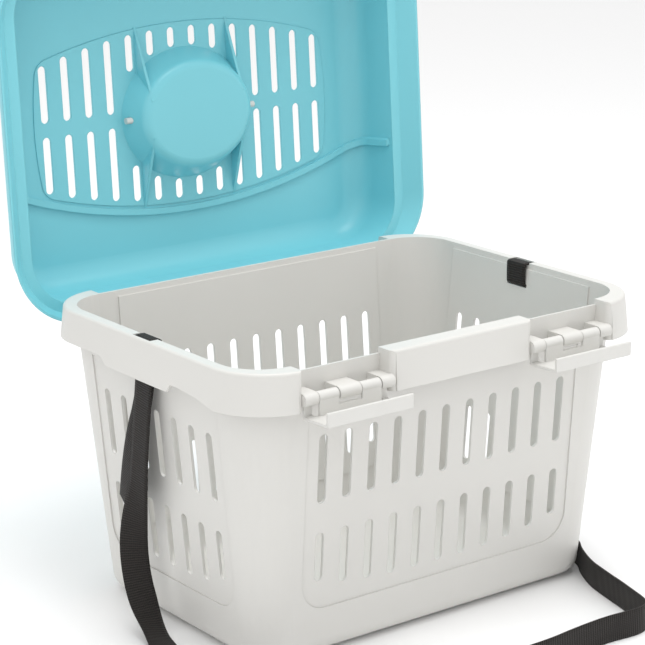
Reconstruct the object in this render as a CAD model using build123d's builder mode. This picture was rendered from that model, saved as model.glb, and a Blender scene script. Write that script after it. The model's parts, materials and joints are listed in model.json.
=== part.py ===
"""Plastic pet carrier: a slotted tub, a hinged domed lid with a folding handle, two clip latches
and a webbing shoulder strap.

Millimetres. The origin is on the floor under the middle of the tub, X runs along its length,
the latches face -Y, the hinge is on the +Y side and +Z is up. The carrier is drawn as it stands
open: lid swung back, latches dropped, handle folded into its well, strap lying round the tub."""
import os
from math import atan2, cos, degrees, radians, sin, sqrt

from build123d import *

# Tub, outer sizes of its wall at the rim and at the base
rim_height = 272.0
tub_top_length = 424.0
tub_top_depth = 297.0
tub_base_length = 374.0
tub_base_depth = 256.0
tub_top_corner = 42.0
tub_base_corner = 32.0
base_rounding = 16.0
tub_wall = 2.5
foot_height = 2.5
foot_length = 34.0
foot_width = 16.0
foot_inset = 26.0

# Rim, a flat ledge with a skirt that hangs from it
rim_length = 440.0
rim_depth = 328.0
rim_corner = 55.0
skirt_height = 35.0
side_skirt_height = 28.0
skirt_flare = 5.0
skirt_front_flare = 1.5
strap_tab_width = 96.0
skirt_slope = 5.0
skirt_sweep_start = 64.0
skirt_sweep_end = 116.0
rim_rounding = 2.4

# Recesses in the rim for the two latches in front and the two hinges behind
recess_offset = 123.0
recess_width = 90.0
recess_drop = 5.0
recess_rounding = 5.0

# Pivots of the latches and of the lid, on steel pins
pivot_inset = 1.0
pivot_drop = 25.0
pin_radius = 2.0
pin_grip = 0.04
pin_play = 0.08
knuckle_radius = 5.5
barrel_radius = 5.0
centre_knuckle = 22.0
barrel_length = 20.0
barrel_gap = 0.8

# Latch lever, a hooked lip on a web
latch_width = 88.0
latch_wall = 2.2
latch_web_drop = 14.8
latch_reach = 29.2
latch_lip = 11.0

# Slots and panels of the tub walls
slot_pitch = 26.4
slot_width = 8.6
front_columns = 11
side_columns = 7
upper_slot_top = 206.0
upper_slot_bottom = 144.0
lower_slot_top = 117.0
lower_slot_bottom = 59.5
lower_slot_rise = 13.0
panel_margin = 13.0
panel_step = 1.2
panel_corner = 26.0

# Lid, drawn shut and then swung open about the hinge
lid_open_angle = 93.6
lid_length = 474.0
lid_depth = 333.0
lid_corner = 60.0
lid_wall = 2.4
seat_gap = 0.4
ledge_overlap = 1.5
apron_drop = 15.0
apron_flare = 3.0
apron_corner = 68.0
dome_length = 427.0
dome_depth = 313.0
dome_height = 55.0
dome_corner = 48.0
dome_draft = 4.0
dome_rounding = 26.0
rib_width = 6.0
rib_height = 3.5
lid_columns = 14
lid_slot_pitch = 24.0
lid_slot_gap = 13.0
lid_slot_reach = 83.0
lid_slot_fall = 23.0
grille_margin = 4.5
grille_bulge = 6.0
grille_step = 1.0
grille_corner = 17.0

# Handle and the round well that it folds into
well_radius = 62.0
well_floor_radius = 50.0
well_depth = 26.0
well_rounding = 8.0
well_slot_margin = 2.5
handle_radius = 43.0
handle_bar = 10.0
handle_pivot_radius = 3.0
handle_play = 0.08
handle_end = 74.0
gusset_offset = 52.0
gusset_wall = 3.0
gusset_height = 15.0
catch_reach = 4.0
catch_width = 56.0
hinge_toe_gap = 0.3

# Shoulder strap, flat webbing
strap_width = 25.0
strap_thickness = 1.4
strap_slot_clearance = 1.0
strap_hole_height = 22.0
strap_notch = 2.0
strap_gap = 0.4

os.makedirs("parts", exist_ok=True)

pivot_y = rim_depth / 2 - pivot_inset
pivot_z = rim_height - pivot_drop
barrel_start = centre_knuckle / 2 + barrel_gap
barrel_end = barrel_start + barrel_length
boss_start = barrel_end + barrel_gap
boss_end = recess_width / 2
recess_centres = (-recess_offset, recess_offset)
lid_seat = rim_height + seat_gap
dome_top = lid_seat + dome_height + lid_wall
dome_ceiling = dome_top - lid_wall


def rounded_loft(low, high, mode=Mode.ADD):
    """Ruled solid between two rounded rectangles, each (height, length, depth, corner)."""
    sections = []
    for height, length, depth, corner in (low, high):
        with BuildSketch(Plane.XY.offset(height)) as section:
            RectangleRounded(length, depth, corner)
        sections.append(section.sketch)
    loft(sections=sections, ruled=True, mode=mode)


def tub_size(height, inset=0.0):
    """Length, depth and corner of the tub wall at a height, moved inwards by inset."""
    share = height / rim_height
    length = tub_base_length + (tub_top_length - tub_base_length) * share - 2 * inset
    depth = tub_base_depth + (tub_top_depth - tub_base_depth) * share - 2 * inset
    corner = tub_base_corner + (tub_top_corner - tub_base_corner) * share - inset
    return height, length, depth, corner


def wall_plane(side):
    """Plane on the outer face of a tub wall: x along the wall, y up its slope, z outwards."""
    if side in ("front", "back"):
        lean = atan2((tub_top_depth - tub_base_depth) / 2, rim_height)
        sign = -1 if side == "front" else 1
        return Plane(
            origin=(0, sign * tub_base_depth / 2, 0),
            x_dir=(-sign, 0, 0),
            z_dir=(0, sign * cos(lean), -sin(lean)),
        )
    lean = atan2((tub_top_length - tub_base_length) / 2, rim_height)
    sign = -1 if side == "left" else 1
    return Plane(
        origin=(sign * tub_base_length / 2, 0, 0),
        x_dir=(0, sign, 0),
        z_dir=(sign * cos(lean), 0, -sin(lean)),
    )


def column_places(columns, pitch):
    return [(k - (columns - 1) / 2) * pitch for k in range(columns)]


def upright_slot(x, low, high, width):
    """A round-ended slot between two heights on the current sketch."""
    with Locations((x, (low + high) / 2)):
        SlotOverall(high - low, width, rotation=90)


def wall_slots(columns):
    """Both rows of slots of one tub wall, the lower row rising towards the panel's corners."""
    half = (columns - 1) / 2
    for k, x in enumerate(column_places(columns, slot_pitch)):
        upright_slot(x, upper_slot_bottom, upper_slot_top, slot_width)
        rise = lower_slot_rise * abs((k - half) / half) ** 3
        upright_slot(x, lower_slot_bottom + rise, lower_slot_top, slot_width)


def wall_panel(columns, height):
    """The outline of the slotted panel of one wall, open at its top under the skirt."""
    half = (columns - 1) / 2 * slot_pitch + slot_width / 2 + panel_margin
    low = lower_slot_bottom - panel_margin
    with BuildLine() as outline:
        corners = ((half, height), (half, low), (-half, low), (-half, height))
        sides = FilletPolyline(*corners, radius=panel_corner)
        Line(sides @ 1, sides @ 0)
    make_face(outline.edges())


# Skirt's hollow, between the tub wall and the skirt, closed at both ends of each recess
skirt_bottom = rim_height - skirt_height
channel_top = rim_height - tub_wall
channel_low = (
    skirt_bottom - 1,
    rim_length + 2 * skirt_flare - 2 * tub_wall,
    rim_depth + 2 * skirt_front_flare - 2 * tub_wall,
    rim_corner,
)
channel_high = (channel_top, rim_length - 2 * tub_wall, rim_depth - 2 * tub_wall, rim_corner - tub_wall)

with BuildPart() as channel:
    rounded_loft(channel_low, channel_high)
    rounded_loft(tub_size(skirt_bottom - 2), tub_size(rim_height), mode=Mode.SUBTRACT)
    recess_end = recess_width / 2 + tub_wall / 2
    for centre in recess_centres:
        for side in (-1, 1):
            with Locations((centre + side * recess_end, -rim_depth / 2, rim_height - skirt_height / 2)):
                Box(tub_wall, rim_depth / 2, 2 * skirt_height, mode=Mode.SUBTRACT)
    for side in (-1, 1):
        outer_end = side * (recess_offset + recess_end)
        with Locations((outer_end, rim_depth / 2, rim_height - skirt_height / 2)):
            Box(tub_wall, rim_depth / 2, 2 * skirt_height, mode=Mode.SUBTRACT)

with BuildPart() as cabin:
    rounded_loft(tub_size(foot_height + tub_wall, tub_wall), tub_size(rim_height + 1, tub_wall))
    fillet(cabin.faces().sort_by(Axis.Z)[0].edges(), base_rounding - tub_wall)

strap_x = rim_length / 2 - tub_wall - strap_slot_clearance - strap_thickness / 2
strap_hole_z = rim_height - strap_hole_height

with BuildPart() as tub:
    rounded_loft(tub_size(foot_height), tub_size(rim_height))
    fillet(tub.faces().sort_by(Axis.Z)[0].edges(), base_rounding)
    flared_length = rim_length + 2 * skirt_flare
    flared_depth = rim_depth + 2 * skirt_front_flare
    rounded_loft(
        (skirt_bottom, flared_length, flared_depth, rim_corner + tub_wall),
        (rim_height, rim_length, rim_depth, rim_corner),
    )
    fillet(tub.faces().sort_by(Axis.Z)[-1].edges(), rim_rounding)
    add(channel.part, mode=Mode.SUBTRACT)
    # The skirt is shorter at the sides and behind, apart from a tab at each strap, and sweeps
    # down to its full height at the front corners
    side_skirt_low = rim_height - side_skirt_height
    tab_end = strap_tab_width / 2
    with BuildSketch(Plane.YZ):
        Polygon(
            (-tab_end, skirt_bottom),
            (-tab_end - skirt_slope, side_skirt_low),
            (-skirt_sweep_start, side_skirt_low),
            (-(skirt_sweep_start + skirt_sweep_end) / 2, side_skirt_low - 0.4 * skirt_slope),
            (-skirt_sweep_end, skirt_bottom),
            align=None,
        )
        Polygon(
            (tab_end, skirt_bottom),
            (tab_end + 2 * skirt_slope, side_skirt_low),
            (rim_depth, side_skirt_low),
            (rim_depth, skirt_bottom),
            align=None,
        )
    extrude(amount=rim_length, both=True, mode=Mode.SUBTRACT)
    rounded_loft(tub_size(skirt_bottom - 2), tub_size(rim_height - tub_wall))
    # In front a recess for each latch, behind one long recess for both hinges
    outside = tub_top_depth / 2
    for centre in recess_centres:
        with BuildSketch(Plane.XY.offset(skirt_bottom - 1)):
            with Locations((centre, -outside - rim_depth / 2)):
                Rectangle(recess_width, rim_depth)
            for side in (-1, 1):
                corner_x = centre + side * (recess_width + recess_rounding) / 2
                with Locations((corner_x, -rim_depth / 2)):
                    Rectangle(recess_rounding, 2 * recess_rounding)
                with Locations((corner_x + side * recess_rounding / 2, -rim_depth / 2 + recess_rounding)):
                    Circle(recess_rounding, mode=Mode.SUBTRACT)
        extrude(amount=skirt_height + 2, mode=Mode.SUBTRACT)
        with Locations((centre, -outside, rim_height)):
            Box(recess_width, 8 * tub_wall, 2 * recess_drop, mode=Mode.SUBTRACT)
    with Locations((0, outside + rim_depth / 2, rim_height - skirt_height / 2)):
        Box(2 * recess_offset + recess_width, rim_depth, skirt_height + 2, mode=Mode.SUBTRACT)
    for side in (-1, 1):
        for centre in recess_centres:
            for low, high in (
                (-centre_knuckle / 2, centre_knuckle / 2),
                (boss_start, boss_end + tub_wall / 2),
                (-boss_end - tub_wall / 2, -boss_start),
            ):
                with BuildSketch(Plane.YZ.offset(centre + low)):
                    with Locations((side * pivot_y, pivot_z)):
                        Circle(knuckle_radius)
                    with Locations((side * (pivot_y + outside - 2) / 2, pivot_z)):
                        Rectangle(pivot_y - outside + 2, 2 * knuckle_radius)
                extrude(amount=high - low)
    add(cabin.part, mode=Mode.SUBTRACT)
    # Slotted panels step inwards by the same amount outside and inside
    for wall_name in ("front", "back", "left", "right"):
        columns = front_columns if wall_name in ("front", "back") else side_columns
        outer = wall_plane(wall_name)
        with BuildSketch(outer.offset(-tub_wall - panel_step)):
            wall_panel(columns, rim_height - recess_drop)
        extrude(amount=tub_wall)
        with BuildSketch(outer.offset(-panel_step)):
            wall_panel(columns, rim_height - skirt_height - tub_wall)
        extrude(amount=tub_wall, mode=Mode.SUBTRACT)
        with BuildSketch(outer.offset(-3 * tub_wall)):
            wall_slots(columns)
        extrude(amount=5 * tub_wall, mode=Mode.SUBTRACT)
    # Feet at the four corners
    with BuildSketch(Plane.XY):
        foot_pitch = tub_base_length - 2 * foot_inset - foot_length
        with GridLocations(foot_pitch, tub_base_depth - 2 * foot_inset, 2, 2):
            RectangleRounded(foot_length, foot_width, foot_width / 3)
    extrude(amount=foot_height + tub_wall / 2)
    # Bores for the pins
    for side in (-1, 1):
        for centre in recess_centres:
            bore_length = 2 * (boss_end - tub_wall / 2)
            with Locations(Location((centre, side * pivot_y, pivot_z), (0, 90, 0))):
                Cylinder(pin_radius + pin_grip, bore_length, mode=Mode.SUBTRACT)
    # Strap slots: one through the ledge beside the skirt, one through the wall below it, and a
    # notch between them on a thicker piece of ledge, which keeps the strap below the shut lid
    for side in (-1, 1):
        ledge_slot = strap_thickness + 2 * strap_slot_clearance
        pad = strap_x - (tub_top_length / 2 - 1)
        notch_length = 3 * pad
        with Locations((side * (strap_x - pad / 2), 0, rim_height - 1.5 * tub_wall)):
            Box(pad, strap_width + 6, tub_wall)
        with Locations((side * (strap_x - notch_length / 2), 0, rim_height)):
            Box(notch_length, strap_width + 2, 2 * strap_notch, mode=Mode.SUBTRACT)
        with Locations((side * strap_x, 0, rim_height)):
            Box(ledge_slot, strap_width + 2, 4 * tub_wall, mode=Mode.SUBTRACT)
        with Locations((side * tub_top_length / 2, 0, strap_hole_z)):
            Box(6 * tub_wall, strap_width + 2, ledge_slot, mode=Mode.SUBTRACT)
tub.part.label = "tub"
export_step(tub.part, "parts/tub.step")
print("tub", len(tub.part.solids()), round(tub.part.volume), tub.part.bounding_box())

# Lid, shut
hinge_axis = Axis((0, pivot_y, pivot_z), (1, 0, 0))
apron_high_length = rim_length + 2 * ledge_overlap + 2 * lid_wall
grille_half = lid_slot_pitch * (lid_columns - 1) / 2
arc_radius = grille_half**2 / (2 * lid_slot_fall) + lid_slot_fall / 2
arc_reach = lid_slot_reach + grille_margin
well_length = 2 * (well_radius + 10.0)
well_depth_across = 2 * well_radius
floor_length = 2 * (well_floor_radius + 8.0)
floor_depth_across = 2 * (well_floor_radius - 3.0)


def oval_loft(low, high, mode=Mode.ADD):
    """Solid between two ellipses, each (height, length, depth)."""
    sections = []
    for height, length, depth in (low, high):
        with BuildSketch(Plane.XY.offset(height)) as section:
            Ellipse(length / 2, depth / 2)
        sections.append(section.sketch)
    loft(sections=sections, mode=mode)


def slot_end(x, reach):
    """How far from the lid's middle line the arc at a reach lies, at x."""
    return reach - arc_radius + sqrt(arc_radius**2 - x**2)


def dome_inside(inset):
    """The dome's hollow, moved inwards by inset."""
    wall = lid_wall + inset
    with BuildPart() as hollow:
        rounded_loft(
            (lid_seat - 1, dome_length - 2 * wall, dome_depth - 2 * wall, dome_corner - wall),
            (
                dome_top - wall,
                dome_length - 2 * dome_draft - 2 * wall,
                dome_depth - 2 * dome_draft - 2 * wall,
                dome_corner - dome_draft - wall,
            ),
        )
        fillet(hollow.faces().sort_by(Axis.Z)[-1].edges(), dome_rounding - wall)
    return hollow.part


def grille_outline(margin):
    """The grille's barrel outline: bowed long sides, slightly bowed ends, rounded corners."""
    end = grille_half + slot_width / 2 + margin + 2
    corner_y = slot_end(end, arc_reach + margin)
    with BuildLine() as outline:
        ThreePointArc((-end, corner_y), (0, arc_reach + margin), (end, corner_y))
        ThreePointArc((end, corner_y), (end + grille_bulge, 0), (end, -corner_y))
        ThreePointArc((end, -corner_y), (0, -arc_reach - margin), (-end, -corner_y))
        ThreePointArc((-end, -corner_y), (-end - grille_bulge, 0), (-end, corner_y))
    make_face(outline.edges())


dome_hollow = dome_inside(0)

with BuildPart() as ribs:
    with BuildSketch(Plane.XY.offset(lid_seat + 2 * lid_wall)):
        for side in (-1, 1):
            with Locations((0, side * (arc_reach + rib_width - arc_radius))):
                Circle(arc_radius + rib_width / 2)
                Circle(arc_radius - rib_width / 2, mode=Mode.SUBTRACT)
        with Locations((0, 0)):
            Rectangle(2 * dome_length, 2 * arc_reach + 4 * rib_width, mode=Mode.INTERSECT)
    extrude(amount=dome_height)
    add(dome_inside(-lid_wall / 2), mode=Mode.INTERSECT)
    add(dome_inside(rib_height), mode=Mode.SUBTRACT)

well_floor = dome_top - well_depth
with BuildPart() as well_shell:
    oval_loft(
        (well_floor - lid_wall, floor_length + 2 * lid_wall, floor_depth_across + 2 * lid_wall),
        (dome_ceiling + lid_wall / 2, well_length + 2 * lid_wall, well_depth_across + 2 * lid_wall),
    )
    fillet(well_shell.faces().sort_by(Axis.Z)[0].edges(), well_rounding + lid_wall)

with BuildPart() as well_hollow:
    oval_loft(
        (well_floor, floor_length, floor_depth_across),
        (dome_top + 1, well_length, well_depth_across),
    )
    fillet(well_hollow.faces().sort_by(Axis.Z)[0].edges(), well_rounding)

with BuildPart() as lid:
    apron_depth = lid_depth + 2 * apron_flare
    rounded_loft(
        (lid_seat - apron_drop, lid_length, apron_depth, apron_corner),
        (lid_seat + lid_wall, apron_high_length, lid_depth, lid_corner),
    )
    inner_depth = lid_depth - 2 * lid_wall
    inner_corner = apron_corner - lid_wall
    rounded_loft(
        (lid_seat - apron_drop, lid_length - 2 * lid_wall, apron_depth - 2 * lid_wall, inner_corner),
        (lid_seat, apron_high_length - 2 * lid_wall, inner_depth, lid_corner - lid_wall),
        mode=Mode.SUBTRACT,
    )
    rounded_loft(
        (lid_seat, dome_length, dome_depth, dome_corner),
        (dome_top, dome_length - 2 * dome_draft, dome_depth - 2 * dome_draft, dome_corner - dome_draft),
    )
    fillet(lid.faces().sort_by(Axis.Z)[-1].edges(), dome_rounding)
    add(dome_hollow, mode=Mode.SUBTRACT)
    add(ribs.part)
    # The grille steps towards the cabin by the same amount outside and inside
    with BuildSketch(Plane.XY.offset(dome_ceiling - grille_step)) as grille:
        grille_outline(0)
        fillet(grille.vertices(), grille_corner)
    extrude(amount=lid_wall)
    with BuildSketch(Plane.XY.offset(dome_top - grille_step)) as grille_top:
        grille_outline(0)
        fillet(grille_top.vertices(), grille_corner)
    extrude(amount=2 * grille_step, mode=Mode.SUBTRACT)
    # Fins from the arcs to the well
    for x in (-gusset_offset, gusset_offset):
        with BuildSketch(Plane.YZ.offset(x - gusset_wall / 2)):
            for side in (-1, 1):
                Polygon(
                    (side * arc_reach, dome_ceiling),
                    (side * arc_reach * 0.52, dome_ceiling - gusset_height),
                    (side * arc_reach * 0.2, dome_ceiling - well_depth),
                    (side * arc_reach * 0.2, dome_ceiling),
                    align=None,
                )
        extrude(amount=gusset_wall)
    # The well: its wall stands into the lid, and its hollow opens outwards
    add(well_shell.part)
    add(well_hollow.part, mode=Mode.SUBTRACT)
    # Slots
    with BuildSketch(Plane.XY.offset(dome_ceiling - rib_height)):
        for x in column_places(lid_columns, lid_slot_pitch):
            far = slot_end(x, lid_slot_reach)
            near = lid_slot_gap / 2
            if abs(x) < well_length / 2:
                oval = sqrt(1 - (x / (well_length / 2 + 12)) ** 2)
                near = (well_radius + well_slot_margin) * oval
            for side in (-1, 1):
                upright_slot(x, *sorted((side * near, side * far)), slot_width)
    extrude(amount=3 * lid_wall, mode=Mode.SUBTRACT)
    # Holes for the handle's ends
    handle_z = dome_top - well_depth / 2 + 1
    with Locations(Location((0, 0, handle_z), (0, 90, 0))):
        Cylinder(handle_pivot_radius + handle_play, well_length + 8, mode=Mode.SUBTRACT)
    # Catches for the latches in front
    for centre in recess_centres:
        with Locations((centre, -lid_depth / 2, lid_seat + lid_wall / 2)):
            Box(catch_width, 2 * catch_reach, lid_wall)
    # Hinge arms behind, each with a barrel and a toe that stops the open lid on the tub's wall
    wall_lean = degrees(atan2((tub_top_depth - tub_base_depth) / 2, rim_height))
    wall_reach = pivot_y - tub_size(pivot_z)[2] / 2
    toe_length = wall_reach * cos(radians(wall_lean)) - hinge_toe_gap - 0.2
    for centre in recess_centres:
        for side in (-1, 1):
            x = centre + side * (barrel_start + barrel_length / 2)
            with Locations(Location((x, pivot_y, pivot_z), (0, 90, 0))):
                Cylinder(barrel_radius, barrel_length)
            arm_height = lid_seat + lid_wall - pivot_z
            with Locations((x, lid_depth / 2 - lid_wall, pivot_z + arm_height / 2)):
                Box(barrel_length, 2 * lid_wall, arm_height)
            with Locations(Location((x, pivot_y, pivot_z), (lid_open_angle, 0, 0))):
                toe_align = (Align.CENTER, Align.MAX, Align.CENTER)
                Box(barrel_length / 2, toe_length, lid_wall, align=toe_align)
            with Locations(Location((x, pivot_y, pivot_z), (0, 90, 0))):
                Cylinder(pin_radius + pin_play, barrel_length + 2, mode=Mode.SUBTRACT)
lid_open = lid.part.rotate(hinge_axis, -lid_open_angle)
lid_open.label = "lid"
export_step(lid_open, "parts/lid.step")
print("lid", len(lid_open.solids()), round(lid_open.volume), lid_open.bounding_box())

# Handle, folded into the well on the hinge side
with BuildPart() as handle:
    with BuildSketch(Plane.XY.offset(handle_z - handle_bar / 2 + 0.5)) as bail:
        Ellipse(handle_radius + 15, handle_radius + 3)
        Ellipse(handle_radius + 15 - handle_bar, handle_radius + 3 - handle_bar - 1, mode=Mode.SUBTRACT)
        with Locations((0, -handle_radius)):
            Rectangle(4 * handle_radius, 2 * handle_radius - 2 * handle_pivot_radius, mode=Mode.SUBTRACT)
    extrude(amount=handle_bar - 1)
    fillet(handle.edges().filter_by(GeomType.ELLIPSE), 2.5)
    for side in (-1, 1):
        end_x = side * (handle_radius + 15 - handle_bar / 2 + 0.5)
        with Locations(Location((end_x, 0, handle_z), (0, 90, 0))):
            Cylinder(handle_bar / 2, handle_bar - 1.5)
        with BuildSketch(Plane.YZ.offset(end_x)):
            with Locations((0, handle_z)):
                Circle(handle_pivot_radius)
        extrude(amount=side * (handle_end - abs(end_x)))
# It hangs plumb from its pivots, a little out of the well of the leaning lid
handle_axis = Axis((0, 0, handle_z), (1, 0, 0))
handle_hanging = handle.part.rotate(handle_axis, lid_open_angle - 90)
handle_open = handle_hanging.rotate(hinge_axis, -lid_open_angle)
handle_open.label = "handle"
export_step(handle_open, "parts/handle.step")
print("handle", len(handle_open.solids()), round(handle_open.volume), handle_open.bounding_box())


def make_latch(centre):
    """A latch lever hanging open on its pin: two barrels, a web, a floor and a hooked lip."""
    web_in = barrel_radius / 2
    floor_low = -latch_web_drop - latch_wall
    lip_out = latch_reach + latch_wall

    def place(out, up):
        return (-pivot_y - out, pivot_z + up)

    with BuildPart() as lever:
        with BuildSketch(Plane.YZ.offset(centre - latch_width / 2)) as channel_section:
            Polygon(
                place(web_in, floor_low),
                place(lip_out, floor_low + 1),
                place(lip_out, latch_lip - latch_web_drop),
                place(latch_reach, latch_lip - latch_web_drop),
                place(latch_reach, -latch_web_drop + 1),
                place(web_in, -latch_web_drop),
                align=None,
            )
            fillet(channel_section.vertices().sort_by(Axis.X)[:1], latch_wall * 0.4)
        extrude(amount=latch_width)
        for side in (-1, 1):
            x = centre + side * (barrel_start + barrel_length / 2)
            with Locations(Location((x, -pivot_y, pivot_z), (0, 90, 0))):
                Cylinder(barrel_radius, barrel_length)
            with BuildSketch(Plane.YZ.offset(x - barrel_length / 2)):
                Polygon(
                    place(web_in, 0),
                    place(web_in, floor_low),
                    place(web_in + latch_wall, floor_low),
                    place(web_in + latch_wall, 0),
                    align=None,
                )
            extrude(amount=barrel_length)
            with Locations(Location((x, -pivot_y, pivot_z), (0, 90, 0))):
                Cylinder(pin_radius + pin_play, barrel_length + 2, mode=Mode.SUBTRACT)
            # Heel under the tub's boss, which keeps the open lever from dropping further
            heel_x = centre + side * (boss_start + (boss_end - boss_start) / 2)
            with BuildSketch(Plane.YZ.offset(heel_x - 4)):
                Polygon(
                    place(web_in + 1, floor_low),
                    place(web_in + 1, -latch_web_drop),
                    place(-2, -latch_web_drop),
                    place(-2, -knuckle_radius - 0.3),
                    place(-4.2, -knuckle_radius - 0.3),
                    place(-4.2, floor_low),
                    align=None,
                )
            extrude(amount=8)
        strip = latch_web_drop - barrel_radius - 3
        with Locations((centre, -pivot_y - web_in - latch_wall / 2, pivot_z - latch_web_drop + strip / 2)):
            Box(2 * barrel_end, latch_wall, strip)
    return lever.part


def make_pin(x, y, name):
    with BuildPart() as pin:
        with Locations(Location((x, y, pivot_z), (0, 90, 0))):
            Cylinder(pin_radius, 2 * (boss_end - tub_wall))
        chamfer(pin.edges(), pin_radius / 5)
    pin.part.label = name
    export_step(pin.part, f"parts/{name}.step")


for side_name, centre in zip(("left", "right"), recess_centres):
    latch = make_latch(centre)
    latch.label = f"latch_{side_name}"
    export_step(latch, f"parts/latch_{side_name}.step")
    print("latch", len(latch.solids()), round(latch.volume), latch.bounding_box())
    make_pin(centre, -pivot_y, f"latch_pin_{side_name}")
    make_pin(centre, pivot_y, f"hinge_pin_{side_name}")

# Shoulder strap: each end loops over the tub's wall, and the rest lies round the tub
loop_bottom = skirt_bottom + 4
wall_half_top = tub_top_length / 2
tail_length = 128.0


def ribbon_section(point, across, along):
    """The strap's cross-section at a point: its width lies along across, square to its run."""
    run = Vector(*along).normalized()
    width_dir = Vector(*across)
    width_dir = (width_dir - run * width_dir.dot(run)).normalized()
    with BuildSketch(Plane(origin=point, x_dir=width_dir, z_dir=run)) as section:
        Rectangle(strap_width, strap_thickness)
    return section.sketch


def ribbon(route):
    """A flat ribbon through a route of (point, direction of its width)."""
    points = [Vector(*point) for point, _ in route]
    sections = []
    for k, (point, across) in enumerate(route):
        before = points[max(k - 1, 0)]
        after = points[min(k + 1, len(points) - 1)]
        sections.append(ribbon_section(point, across, tuple(after - before)))
    with BuildPart() as strip:
        loft(sections=sections, ruled=True)
    return strip.part


def strap_length(route):
    points = [Vector(*point) for point, _ in route]
    return sum((b - a).length for a, b in zip(points, points[1:]))


inner_x = tub_size(strap_hole_z)[1] / 2 - tub_wall - panel_step - strap_thickness / 2 - strap_gap
over_z = rim_height - strap_notch + strap_gap + strap_thickness / 2
for side_name, side in (("left", -1), ("right", 1)):
    with BuildPart() as loop:
        with BuildSketch(Plane.XZ.offset(-strap_width / 2)):
            with BuildLine():
                FilletPolyline(
                    (side * strap_x, loop_bottom),
                    (side * strap_x, over_z),
                    (side * inner_x, over_z),
                    (side * inner_x, strap_hole_z),
                    (side * (wall_half_top + 1.5), strap_hole_z),
                    (side * (wall_half_top + 1.5), loop_bottom),
                    radius=(1.6, 1.6, 1.6, 0.9),
                )
            trace(line_width=strap_thickness)
        extrude(amount=strap_width)
    loop.part.label = f"strap_loop_{side_name}"
    export_step(loop.part, f"parts/strap_loop_{side_name}.step")
    print("loop", len(loop.part.solids()), round(loop.part.volume), loop.part.bounding_box())

lying = strap_width / 2 + 0.6
flat = strap_thickness / 2 + 0.3
crosswise = (0, 1, 0)
upright = (0, 0, 1)
run_start = (-strap_x, 0, loop_bottom)
run_end = (strap_x, 0, loop_bottom)
# From under the left skirt down to the floor, round the front out of reach of the latches,
# along the floor on edge, round a tight fold and up behind the right wall
run_route = [
    (run_start, crosswise),
    ((-strap_x, 0, loop_bottom - 6), crosswise),
    ((-217, 3, 205), crosswise),
    ((-217.5, 8, 165), crosswise),
    ((-218, 12, 130), (-0.1, 1, 0)),
    ((-218, 20, 98), (-0.5, 0.8, 0)),
    ((-218, 22, 72), (-0.8, 0.6, 0)),
    ((-217, 18, 44), (-0.8, 0.6, 0)),
    ((-217, 6, 22), (-0.9, 0.3, 0.3)),
    ((-219, -12, 6), (-0.9, 0, 0.3)),
    ((-224, -32, flat + 1.6), (-1, 0, 0.1)),
    ((-232, -52, flat), (-1, 0, 0)),
    ((-229, -96, flat), (-1, -0.1, 0)),
    ((-218, -140, flat), (-1, -0.4, 0)),
    ((-192, -186, flat), (-0.8, -0.6, 0)),
    ((-155, -222, flat + 0.8), (-0.6, -0.8, 0)),
    ((-114, -246, 5), (-0.3, -0.9, 0.3)),
    ((-72, -258, 11.8), (0, -0.5, 0.9)),
    ((-30, -262, lying), upright),
    ((14, -262.5, lying), upright),
    ((40, -259.5, lying), upright),
    ((66, -257.5, lying), upright),
    ((90, -257.2, lying), upright),
    ((110, -259.6, lying), upright),
    ((125, -260, lying), upright),
    ((136, -255, lying), upright),
    ((141, -244, lying), upright),
    ((145.5, -227, lying), upright),
    ((151, -207.5, lying), upright),
    ((155.4, -188.6, lying), upright),
    ((160, -171, lying), upright),
    ((165, -153, lying), upright),
    ((179.5, -124.5, lying), upright),
    ((191.5, -109.5, lying), upright),
    ((198, -88, lying), upright),
    ((212, -66, lying + 1), (0, 0.1, 1)),
    ((224, -44, lying + 6), (0, 0.5, 0.9)),
    ((230, -24, 38), (0.1, 0.9, 0.5)),
    ((231, -10, 66), (0.1, 1, 0.1)),
    ((229, -3, 100), crosswise),
    ((225, 0, 140), crosswise),
    ((221, 1, 185), crosswise),
    ((strap_x, 0, loop_bottom - 6), crosswise),
    (run_end, crosswise),
]
strap_run = ribbon(run_route)
strap_run.label = "strap_run"
export_step(strap_run, "parts/strap_run.step")
print("strap run", len(strap_run.solids()), round(strap_run.volume), strap_run.bounding_box())
print("strap length", round(strap_length(run_route)))

tail_x = wall_half_top + 1.5
for side_name, side in (("left", -1), ("right", 1)):
    tail_route = [
        ((side * tail_x, 0, loop_bottom), crosswise),
        ((side * tail_x, 0, loop_bottom - 6), crosswise),
        ((side * tail_x, 10, loop_bottom - 0.3 * tail_length), crosswise),
        ((side * tail_x, 22, loop_bottom - 0.5 * tail_length), crosswise),
        ((side * (tail_x + 0.5), 35, loop_bottom - 0.8 * tail_length), (side * -0.15, 1, 0)),
        ((side * (tail_x + 1), 41, loop_bottom - tail_length), (side * -0.3, 1, 0)),
    ]
    tail = ribbon(tail_route)
    tail.label = f"strap_tail_{side_name}"
    export_step(tail, f"parts/strap_tail_{side_name}.step")
    print("tail", len(tail.solids()), round(tail.volume), tail.bounding_box())
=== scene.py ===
"""Plastic pet carrier: plastics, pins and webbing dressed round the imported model.

Metres, in the model's own frame: X along the carrier, the latches face -Y, +Z is up."""
import json
import math

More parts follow.
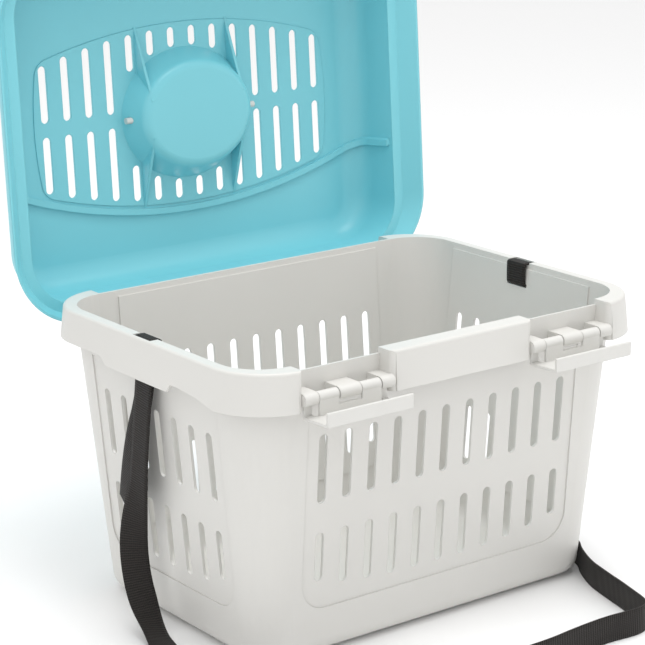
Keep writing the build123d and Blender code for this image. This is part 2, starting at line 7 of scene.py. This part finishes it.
import bmesh
import bpy
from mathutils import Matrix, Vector


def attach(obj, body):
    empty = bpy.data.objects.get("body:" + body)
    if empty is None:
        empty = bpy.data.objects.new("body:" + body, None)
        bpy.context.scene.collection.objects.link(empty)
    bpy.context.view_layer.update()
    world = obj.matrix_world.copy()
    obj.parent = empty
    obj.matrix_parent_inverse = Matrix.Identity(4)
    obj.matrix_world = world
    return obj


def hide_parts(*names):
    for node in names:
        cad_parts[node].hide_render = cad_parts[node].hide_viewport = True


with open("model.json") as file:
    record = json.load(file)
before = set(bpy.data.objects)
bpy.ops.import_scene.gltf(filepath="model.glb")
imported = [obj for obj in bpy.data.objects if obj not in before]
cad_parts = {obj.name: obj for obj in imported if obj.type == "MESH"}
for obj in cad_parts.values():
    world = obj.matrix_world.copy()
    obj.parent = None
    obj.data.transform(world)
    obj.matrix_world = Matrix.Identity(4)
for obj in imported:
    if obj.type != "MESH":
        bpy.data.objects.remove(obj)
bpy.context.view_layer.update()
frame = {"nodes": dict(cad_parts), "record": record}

# Camera, from the photograph
picture_side = 645
focal_length = 2276.34
axis_pixel = (299.03, 324.21)
sensor_width = 36.0
camera_place = (-1.20406, -1.57022, 0.79938)
camera_turn = (74.3795, 0.6093, -36.4425)

# Webbing
strap_width = 0.025
strap_thickness = 0.0014
strap_samples = 16
loop_bottom = 0.241
strap_x = 0.2158
tail_x = 0.2135
tail_length = 0.128
floor_gap = 0.0010
on_edge = 0.0131

crosswise = (0, 1, 0)
upright = (0, 0, 1)


def add_object(name, data):
    piece = bpy.data.objects.new(name, data)
    bpy.context.scene.collection.objects.link(piece)
    return piece


def add_mesh(name, bm):
    mesh = bpy.data.meshes.new(name)
    bm.to_mesh(mesh)
    bm.free()
    return add_object(name, mesh)


camera_data = bpy.data.cameras.new("camera")
camera_data.sensor_width = sensor_width
camera_data.lens = sensor_width * focal_length / picture_side
camera_data.shift_x = 0.5 - axis_pixel[0] / picture_side
camera_data.shift_y = axis_pixel[1] / picture_side - 0.5
camera = add_object("camera", camera_data)
camera.location = camera_place
camera.rotation_euler = [math.radians(angle) for angle in camera_turn]
bpy.context.scene.camera = camera
bpy.context.scene.view_settings.view_transform = "Standard"


def smooth_line(points):
    """Points along a NURBS spline that has these as its control points."""
    curve = bpy.data.curves.new("line", "CURVE")
    curve.dimensions = "3D"
    curve.resolution_u = strap_samples
    spline = curve.splines.new("NURBS")
    spline.points.add(len(points) - 1)
    for knot, place in zip(spline.points, points):
        knot.co = (*place, 1)
    spline.order_u = 3
    spline.use_endpoint_u = True
    holder = bpy.data.objects.new("line", curve)
    mesh = bpy.data.meshes.new_from_object(holder)
    line = [vertex.co.copy() for vertex in mesh.vertices]
    bpy.data.objects.remove(holder)
    bpy.data.curves.remove(curve)
    bpy.data.meshes.remove(mesh)
    return line


def make_webbing(name, route):
    """Flat webbing along a route of (point, direction of its width); returns the piece and its line."""
    half = strap_width / 2
    line = smooth_line([point for point, _ in route])
    edge_points = [Vector(point) + Vector(across).normalized() * half for point, across in route]
    edge = smooth_line(edge_points)
    last = len(line) - 1
    distances = [0.0]
    for a, b in zip(line, line[1:]):
        distances.append(distances[-1] + (b - a).length)
    across_steps = 6
    bm = bmesh.new()
    bmesh.ops.create_grid(bm, x_segments=last, y_segments=across_steps, size=1)
    woven = bm.loops.layers.uv.new("woven")
    flat = {}
    for vertex in bm.verts:
        k = round((vertex.co.x + 1) / 2 * last)
        run = (line[min(k + 1, last)] - line[max(k - 1, 0)]).normalized()
        across = edge[k] - line[k]
        across = (across - run * run.dot(across)).normalized()
        flat[vertex] = (distances[k], vertex.co.y * half)
        vertex.co = line[k] + across * vertex.co.y * half
    for face in bm.faces:
        face.smooth = True
        for loop in face.loops:
            loop[woven].uv = flat[loop.vert]
    piece = add_mesh(name, bm)
    shell = piece.modifiers.new("thickness", "SOLIDIFY")
    shell.thickness = strap_thickness
    shell.offset = 0
    return piece, line


run_route = [
    ((-strap_x, 0, loop_bottom), crosswise),
    ((-strap_x, 0, 0.235), crosswise),
    ((-0.217, 0.003, 0.205), crosswise),
    ((-0.2175, 0.008, 0.165), crosswise),
    ((-0.218, 0.012, 0.130), (-0.1, 1, 0)),
    ((-0.218, 0.020, 0.098), (-0.5, 0.8, 0)),
    ((-0.218, 0.022, 0.072), (-0.8, 0.6, 0)),
    ((-0.217, 0.018, 0.044), (-0.8, 0.6, 0)),
    ((-0.217, 0.006, 0.022), (-0.9, 0.3, 0.3)),
    ((-0.219, -0.012, 0.006), (-0.9, 0, 0.3)),
    ((-0.224, -0.032, 0.0026), (-1, 0, 0.1)),
    ((-0.232, -0.052, floor_gap), (-1, 0, 0)),
    ((-0.229, -0.096, floor_gap), (-1, -0.1, 0)),
    ((-0.218, -0.140, floor_gap), (-1, -0.4, 0)),
    ((-0.192, -0.186, floor_gap), (-0.8, -0.6, 0)),
    ((-0.155, -0.222, 0.0018), (-0.6, -0.8, 0)),
    ((-0.114, -0.246, 0.005), (-0.3, -0.9, 0.3)),
    ((-0.072, -0.258, 0.0118), (0, -0.5, 0.9)),
    ((-0.030, -0.262, on_edge), upright),
    ((0.014, -0.2625, on_edge), upright),
    ((0.040, -0.2595, on_edge), upright),
    ((0.066, -0.2575, on_edge), upright),
    ((0.090, -0.2572, on_edge), upright),
    ((0.110, -0.2596, on_edge), upright),
    ((0.125, -0.260, on_edge), upright),
    ((0.136, -0.255, on_edge), upright),
    ((0.141, -0.244, on_edge), upright),
    ((0.1455, -0.227, on_edge), upright),
    ((0.151, -0.2075, on_edge), upright),
    ((0.1554, -0.1886, on_edge), upright),
    ((0.160, -0.171, on_edge), upright),
    ((0.165, -0.153, on_edge), upright),
    ((0.1795, -0.1245, on_edge), upright),
    ((0.1915, -0.1095, on_edge), upright),
    ((0.198, -0.088, on_edge), upright),
    ((0.212, -0.066, 0.0141), (0, 0.1, 1)),
    ((0.224, -0.044, 0.0191), (0, 0.5, 0.9)),
    ((0.230, -0.024, 0.038), (0.1, 0.9, 0.5)),
    ((0.231, -0.010, 0.066), (0.1, 1, 0.1)),
    ((0.229, -0.003, 0.100), crosswise),
    ((0.225, 0, 0.140), crosswise),
    ((0.221, 0.001, 0.185), crosswise),
    ((strap_x, 0, 0.235), crosswise),
    ((strap_x, 0, loop_bottom), crosswise),
]
straps = []
strap_run, run_line = make_webbing("shoulder_strap", run_route)
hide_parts("strap_run")

for side_name, side in (("left", -1), ("right", 1)):
    tail_route = [
        ((side * tail_x, 0, loop_bottom), crosswise),
        ((side * tail_x, 0, loop_bottom - 0.006), crosswise),
        ((side * tail_x, 0.010, loop_bottom - 0.3 * tail_length), crosswise),
        ((side * tail_x, 0.022, loop_bottom - 0.5 * tail_length), crosswise),
        ((side * (tail_x + 0.0005), 0.035, loop_bottom - 0.8 * tail_length), (side * -0.15, 1, 0)),
        ((side * (tail_x + 0.001), 0.041, loop_bottom - tail_length), (side * -0.3, 1, 0)),
    ]
    tail, _ = make_webbing(f"strap_end_{side_name}", tail_route)
    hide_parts(f"strap_tail_{side_name}")
    straps.append(tail)

# The loops over the walls: up through the ledge, down inside and out through the wall
inner_x = 0.20518
over_z = 0.2711
hole_z = 0.250
turn = 0.0026
turn_middle = 0.0004
small_turn = 0.0014
small_turn_middle = 0.0002
for side_name, side in (("left", -1), ("right", 1)):
    corners = [
        (strap_x, loop_bottom),
        (strap_x, hole_z),
        (strap_x, over_z - turn),
        (strap_x - turn_middle, over_z - turn_middle),
        (strap_x - turn, over_z),
        (inner_x + turn, over_z),
        (inner_x + turn_middle, over_z - turn_middle),
        (inner_x, over_z - turn),
        (inner_x, hole_z + turn),
        (inner_x + turn_middle, hole_z + turn_middle),
        (inner_x + turn, hole_z),
        (tail_x - small_turn, hole_z),
        (tail_x - small_turn_middle, hole_z - small_turn_middle),
        (tail_x, hole_z - small_turn),
        (tail_x, loop_bottom),
    ]
    loop_route = [((side * x, 0, z), crosswise) for x, z in corners]
    loop_piece, _ = make_webbing(f"strap_over_wall_{side_name}", loop_route)
    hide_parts(f"strap_loop_{side_name}")
    straps.append(loop_piece)

straps.append(strap_run)


def add_node(tree, kind, **values):
    """A shader node; values set its inputs by name (underscores for spaces) or its own settings."""
    node = tree.nodes.new(kind)
    for key, value in values.items():
        label = key.replace("_", " ")
        if label in node.inputs:
            node.inputs[label].default_value = value
        else:
            setattr(node, key, value)
    return node


def moulded_skin():
    """Shared look of moulded plastic: soft edges, a fine grain and a slight unevenness of tone."""
    group = bpy.data.node_groups.new("moulded_skin", "ShaderNodeTree")
    face = group.interface
    for label, way, kind in (
        ("Color", "INPUT", "NodeSocketColor"),
        ("Roughness", "INPUT", "NodeSocketFloat"),
        ("Grain Depth", "INPUT", "NodeSocketFloat"),
        ("Edge Radius", "INPUT", "NodeSocketFloat"),
        ("Color", "OUTPUT", "NodeSocketColor"),
        ("Roughness", "OUTPUT", "NodeSocketFloat"),
        ("Normal", "OUTPUT", "NodeSocketVector"),
    ):
        face.new_socket(label, in_out=way, socket_type=kind)
    nodes, link = group.nodes, group.links.new
    given = nodes.new("NodeGroupInput")
    result = nodes.new("NodeGroupOutput")
    place = nodes.new("ShaderNodeTexCoord")

    tone = add_node(group, "ShaderNodeTexNoise", Scale=5.0, Detail=3.0, Roughness=0.55)
    link(place.outputs["Object"], tone.inputs["Vector"])
    tone_range = add_node(group, "ShaderNodeMapRange", To_Min=0.965, To_Max=1.035)
    link(tone.outputs["Fac"], tone_range.inputs["Value"])
    shade = nodes.new("ShaderNodeVectorMath")
    shade.operation = "SCALE"
    link(given.outputs["Color"], shade.inputs[0])
    link(tone_range.outputs["Result"], shade.inputs["Scale"])
    link(shade.outputs["Vector"], result.inputs["Color"])

    rub = add_node(group, "ShaderNodeTexNoise", Scale=38.0, Detail=5.0, Roughness=0.6)
    link(place.outputs["Object"], rub.inputs["Vector"])
    rub_range = add_node(
        group, "ShaderNodeMapRange", From_Min=0.3, From_Max=0.7, To_Min=-0.05, To_Max=0.06
    )
    link(rub.outputs["Fac"], rub_range.inputs["Value"])
    rough = nodes.new("ShaderNodeMath")
    link(given.outputs["Roughness"], rough.inputs[0])
    link(rub_range.outputs["Result"], rough.inputs[1])
    link(rough.outputs["Value"], result.inputs["Roughness"])

    grain = add_node(group, "ShaderNodeTexNoise", Scale=1400.0, Detail=2.0)
    link(place.outputs["Object"], grain.inputs["Vector"])
    edge = add_node(group, "ShaderNodeBevel", samples=4)
    link(given.outputs["Edge Radius"], edge.inputs["Radius"])
    bump = add_node(group, "ShaderNodeBump", Distance=0.0002)
    link(given.outputs["Grain Depth"], bump.inputs["Strength"])
    link(grain.outputs["Fac"], bump.inputs["Height"])
    link(edge.outputs["Normal"], bump.inputs["Normal"])
    link(bump.outputs["Normal"], result.inputs["Normal"])
    return group


skin = moulded_skin()
plastic_ior = 1.49
world_strength = 0.9


def make_material(name):
    material = bpy.data.materials.new(name)
    material.use_nodes = True
    shader = material.node_tree.nodes["Principled BSDF"]
    return material, material.node_tree, shader


def plastic(name, color, roughness, grain_depth, edge_radius):
    material, tree, shader = make_material(name)
    shader.inputs["IOR"].default_value = plastic_ior
    surface = tree.nodes.new("ShaderNodeGroup")
    surface.node_tree = skin
    surface.inputs["Color"].default_value = (*color, 1)
    surface.inputs["Roughness"].default_value = roughness
    surface.inputs["Grain Depth"].default_value = grain_depth
    surface.inputs["Edge Radius"].default_value = edge_radius
    tree.links.new(surface.outputs["Color"], shader.inputs["Base Color"])
    tree.links.new(surface.outputs["Roughness"], shader.inputs["Roughness"])
    tree.links.new(surface.outputs["Normal"], shader.inputs["Normal"])
    return material


def webbing(name):
    """Black webbing: ribs across it about two millimetres apart, in columns of twill along it, with
    painted highlights on the rib crests and painted shade between them.
    """
    material, tree, shader = make_material(name)
    shader.inputs["Sheen Weight"].default_value = 0.05
    shader.inputs["Specular IOR Level"].default_value = 0.25
    nodes, link = tree.nodes, tree.links.new
    flat = nodes.new("ShaderNodeUVMap")
    flat.uv_map = "woven"
    ribs = add_node(tree, "ShaderNodeTexWave", Scale=143.0, Distortion=0.25, Detail=1.0, Detail_Scale=2.0)
    ribs.bands_direction = "X"
    link(flat.outputs["UV"], ribs.inputs["Vector"])
    columns = add_node(tree, "ShaderNodeTexWave", Scale=190.0)
    columns.bands_direction = "Y"
    link(flat.outputs["UV"], columns.inputs["Vector"])
    # Weave height: it drives the bump, and it also drives the colour as painted light.
    weave_relief_and_painted_light = nodes.new("ShaderNodeMath")
    weave_relief_and_painted_light.operation = "MULTIPLY_ADD"
    weave_relief_and_painted_light.inputs[1].default_value = 0.35
    link(columns.outputs["Fac"], weave_relief_and_painted_light.inputs[0])
    link(ribs.outputs["Fac"], weave_relief_and_painted_light.inputs[2])
    # The colour follows the weave: lighter on the rib crests as a painted highlight, darker between the
    # ribs as painted shade.
    tone = nodes.new("ShaderNodeMix")
    tone.data_type = "RGBA"
    tone.inputs["A"].default_value = (0.0045, 0.0038, 0.0035, 1)
    tone.inputs["B"].default_value = (0.030, 0.026, 0.0235, 1)
    link(weave_relief_and_painted_light.outputs["Value"], tone.inputs["Factor"])
    link(tone.outputs["Result"], shader.inputs["Base Color"])
    bump = add_node(tree, "ShaderNodeBump", Distance=0.0004, Strength=0.9)
    link(weave_relief_and_painted_light.outputs["Value"], bump.inputs["Height"])
    link(bump.outputs["Normal"], shader.inputs["Normal"])
    shader.inputs["Roughness"].default_value = 0.72
    return material


def drawn_wire(name):
    """Steel rod with fine drawing lines along it."""
    material, tree, shader = make_material(name)
    shader.inputs["Metallic"].default_value = 1.0
    shader.inputs["Base Color"].default_value = (0.55, 0.55, 0.54, 1)
    place = tree.nodes.new("ShaderNodeTexCoord")
    stretch = add_node(tree, "ShaderNodeMapping", Scale=(40.0, 2500.0, 2500.0))
    tree.links.new(place.outputs["Object"], stretch.inputs["Vector"])
    lines = add_node(tree, "ShaderNodeTexNoise", Scale=1.0, Detail=3.0)
    tree.links.new(stretch.outputs["Vector"], lines.inputs["Vector"])
    rough = add_node(tree, "ShaderNodeMapRange", To_Min=0.22, To_Max=0.42)
    tree.links.new(lines.outputs["Fac"], rough.inputs["Value"])
    tree.links.new(rough.outputs["Result"], shader.inputs["Roughness"])
    return material


tub_grey = plastic("tub_grey", (0.685, 0.675, 0.645), 0.42, 0.12, 0.0007)
lid_turquoise = plastic("lid_turquoise", (0.21, 0.61, 0.69), 0.34, 0.10, 0.0009)
latch_grey = plastic("latch_grey", (0.69, 0.682, 0.655), 0.38, 0.12, 0.0005)
handle_grey = plastic("handle_grey", (0.69, 0.682, 0.655), 0.38, 0.12, 0.0005)
pin_steel = drawn_wire("pin_steel")
strap_black = webbing("strap_black")

finishes = {
    "tub_plastic": tub_grey,
    "lid_plastic": lid_turquoise,
    "latch_plastic": latch_grey,
    "handle_plastic": handle_grey,
    "pin": pin_steel,
    "webbing": strap_black,
}
for part in frame["record"]["subparts"]:
    node = frame["nodes"][part["node"]]
    for material_slot in node.material_slots:
        material_slot.material = finishes[part["material_slot"]]

for strap in straps:
    strap.data.materials.append(strap_black)
    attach(strap, "tub")

# Floor and light
floor_side = 12.0
bm = bmesh.new()
bmesh.ops.create_grid(bm, x_segments=1, y_segments=1, size=floor_side / 2)
floor = add_mesh("floor", bm)
floor_white, _, floor_shader = make_material("floor_white")
floor_shader.inputs["Base Color"].default_value = (0.98, 0.98, 0.98, 1)
floor_shader.inputs["Roughness"].default_value = 0.9
floor.data.materials.append(floor_white)

world = bpy.data.worlds.new("studio")
world.use_nodes = True
world.node_tree.nodes["Background"].inputs["Color"].default_value = (1, 1, 1, 1)
world.node_tree.nodes["Background"].inputs["Strength"].default_value = world_strength
bpy.context.scene.world = world


def soft_light(name, place, target, size, power):
    lamp_data = bpy.data.lights.new(name, "AREA")
    lamp_data.size = size
    lamp_data.energy = power
    lamp = add_object(name, lamp_data)
    lamp.location = place
    lamp.rotation_euler = (Vector(target) - Vector(place)).to_track_quat("-Z", "Y").to_euler()


middle = (0, 0, 0.2)
soft_light("key", (-1.4, -1.6, 2.2), middle, 1.2, 4)
soft_light("fill", (1.9, -1.3, 1.4), middle, 1.8, 2)
soft_light("top", (0.1, -0.2, 2.4), middle, 1.4, 26)
